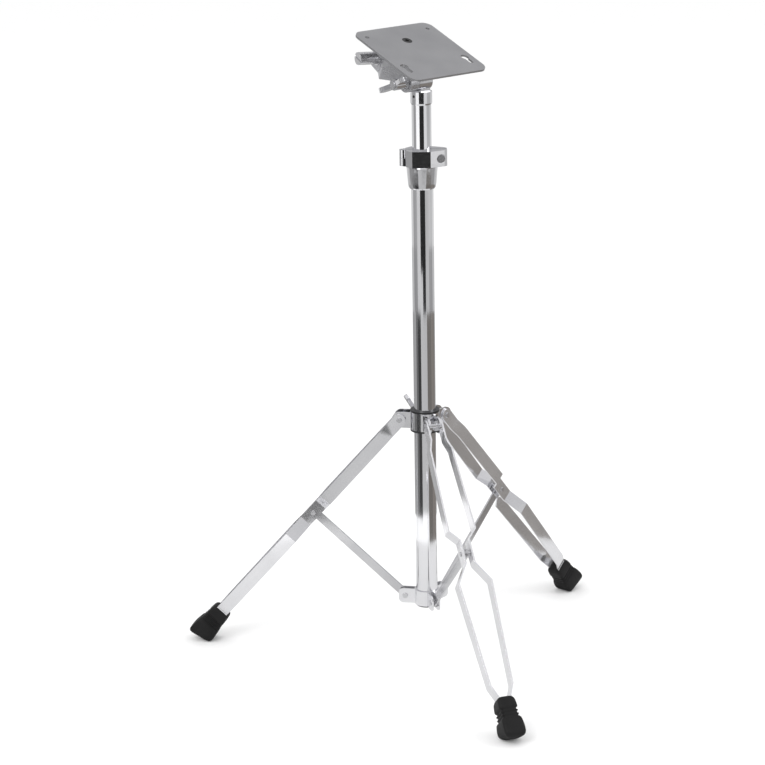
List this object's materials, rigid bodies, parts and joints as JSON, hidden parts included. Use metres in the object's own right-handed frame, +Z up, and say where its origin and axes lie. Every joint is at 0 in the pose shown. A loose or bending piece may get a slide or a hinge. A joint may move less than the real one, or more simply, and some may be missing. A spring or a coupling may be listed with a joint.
{
  "type": "practice pad stand",
  "caption": "Folding double-braced tripod stand with a height-adjustable tube and a tilting square plate that carries a practice or percussion pad.",
  "frame": {"origin": "middle of the footprint box on the floor, between the three feet", "axes": "+Z up the tube; -Y towards the front leg; +X to the right of the front leg seen from the front"},
  "size_m": [0.5178, 0.449, 0.7434],
  "materials": {
    "chrome_tube": "bright chrome plate",
    "chrome_casting": "chrome-plated die casting",
    "chrome_strap": "chrome-plated pressed steel",
    "steel_fastener": "zinc-plated steel",
    "black_nylon": "moulded nylon",
    "black_rubber": "moulded rubber",
    "satin_plate": "satin grey plated steel plate",
    "grey_casting": "satin casting",
    "black_steel": "black oxide"
  },
  "bodies": {
    "frame": {"lower_tube": "chrome_tube", "tube_end_plug": "black_nylon", "bottom_bracket": "chrome_strap", "bracket_rivets": "steel_fastener", "clamp_housing": "chrome_casting", "clamp_bush": "black_nylon", "height_clamp_bolt": "steel_fastener"},
    "height_nut": {"height_wing_nut": "chrome_casting"},
    "collar": {"leg_collar": "chrome_casting", "collar_bush": "black_nylon", "collar_rivets": "steel_fastener"},
    "collar_wing": {"collar_wing_bolt": "chrome_casting"},
    "lock": {"memory_lock_front": "chrome_casting", "memory_lock_rear": "chrome_casting", "memory_lock_hinge_pin": "steel_fastener", "memory_lock_key_bolt": "steel_fastener"},
    "post": {"upper_tube": "chrome_tube", "upper_tube_guide": "black_nylon", "tilter_base": "chrome_casting", "tilter_roll_pin": "black_steel", "tilter_bolt": "steel_fastener", "tilter_spring_washer": "steel_fastener"},
    "tilt_nut": {"tilter_wing_nut": "chrome_casting"},
    "head": {"tilter_head": "grey_casting", "lock_barrel": "steel_fastener", "barrel_washer": "chrome_casting", "plate_screw": "black_steel", "pad_plate": "satin_plate"},
    "leg_front": {"front_strap_left": "chrome_strap", "front_strap_right": "chrome_strap", "front_leg_rivets": "steel_fastener", "front_foot": "black_rubber"},
    "brace_front": {"front_brace": "chrome_strap", "front_brace_spacers": "steel_fastener"},
    "leg_right": {"right_strap_left": "chrome_strap", "right_strap_right": "chrome_strap", "right_leg_rivets": "steel_fastener", "right_foot": "black_rubber"},
    "brace_right": {"right_brace": "chrome_strap", "right_brace_spacers": "steel_fastener"},
    "leg_left": {"left_strap_left": "chrome_strap", "left_strap_right": "chrome_strap", "left_leg_rivets": "steel_fastener", "left_foot": "black_rubber"},
    "brace_left": {"left_brace": "chrome_strap", "left_brace_spacers": "steel_fastener"}
  },
  "joints": [
    {"name": "collar_slide", "type": "slide", "parent": "frame", "child": "collar", "axis": [0, 0, 1], "range_m": [0, 0.08907]},
    {"name": "leg_fold_front", "type": "hinge", "parent": "collar", "child": "leg_front", "pos_m": [0, 0.03969, 0.2913], "axis": [1, 0, 0], "range_deg": [0, 41.47]},
    {"name": "brace_fold_front", "type": "hinge", "parent": "frame", "child": "brace_front", "pos_m": [0, 0.04299, 0.0725], "axis": [-1, 0, 0], "range_deg": [0, 46.88]},
    {"name": "leg_fold_right", "type": "hinge", "parent": "collar", "child": "leg_right", "pos_m": [0.02485, 0.08274, 0.2913], "axis": [-0.5, 0.866, 0], "range_deg": [0, 41.47]},
    {"name": "brace_fold_right", "type": "hinge", "parent": "frame", "child": "brace_right", "pos_m": [0.022, 0.08109, 0.0725], "axis": [0.5, -0.866, 0], "range_deg": [0, 46.88]},
    {"name": "leg_fold_left", "type": "hinge", "parent": "collar", "child": "leg_left", "pos_m": [-0.02485, 0.08274, 0.2913], "axis": [-0.5, -0.866, 0], "range_deg": [0, 41.47]},
    {"name": "brace_fold_left", "type": "hinge", "parent": "frame", "child": "brace_left", "pos_m": [-0.022, 0.08109, 0.0725], "axis": [0.5, 0.866, 0], "range_deg": [0, 46.88]},
    {"name": "height_slide", "type": "slide", "parent": "frame", "child": "lock", "axis": [0, 0, 1], "range_m": [0, 0.29]},
    {"name": "post_turn", "type": "hinge", "parent": "lock", "child": "post", "pos_m": [0, 0.06839, 0.617], "axis": [0, 0, 1], "continuous": true},
    {"name": "plate_tilt", "type": "hinge", "parent": "post", "child": "head", "pos_m": [0, 0.06839, 0.689], "axis": [-0.9272, -0.3746, 0], "range_deg": [-22, 38]},
    {"name": "collar_wing_turn", "type": "hinge", "parent": "collar", "child": "collar_wing", "pos_m": [0, 0.09839, 0.2913], "axis": [0, 1, 0], "continuous": true},
    {"name": "height_nut_turn", "type": "hinge", "parent": "frame", "child": "height_nut", "pos_m": [-0.00086, 0.09811, 0.582], "axis": [-0.9511, 0.309, 0], "continuous": true},
    {"name": "tilt_nut_turn", "type": "hinge", "parent": "post", "child": "tilt_nut", "pos_m": [0, 0.06839, 0.689], "axis": [-0.9272, -0.3746, 0], "continuous": true}
  ],
  "couplings": [
    {"joint": "leg_fold_front", "follows": "collar_slide", "rad_per_m": 8.1154},
    {"joint": "brace_fold_front", "follows": "collar_slide", "rad_per_m": 9.1754},
    {"joint": "leg_fold_right", "follows": "collar_slide", "rad_per_m": 8.1154},
    {"joint": "brace_fold_right", "follows": "collar_slide", "rad_per_m": 9.1754},
    {"joint": "leg_fold_left", "follows": "collar_slide", "rad_per_m": 8.1154},
    {"joint": "brace_fold_left", "follows": "collar_slide", "rad_per_m": 9.1754}
  ]
}
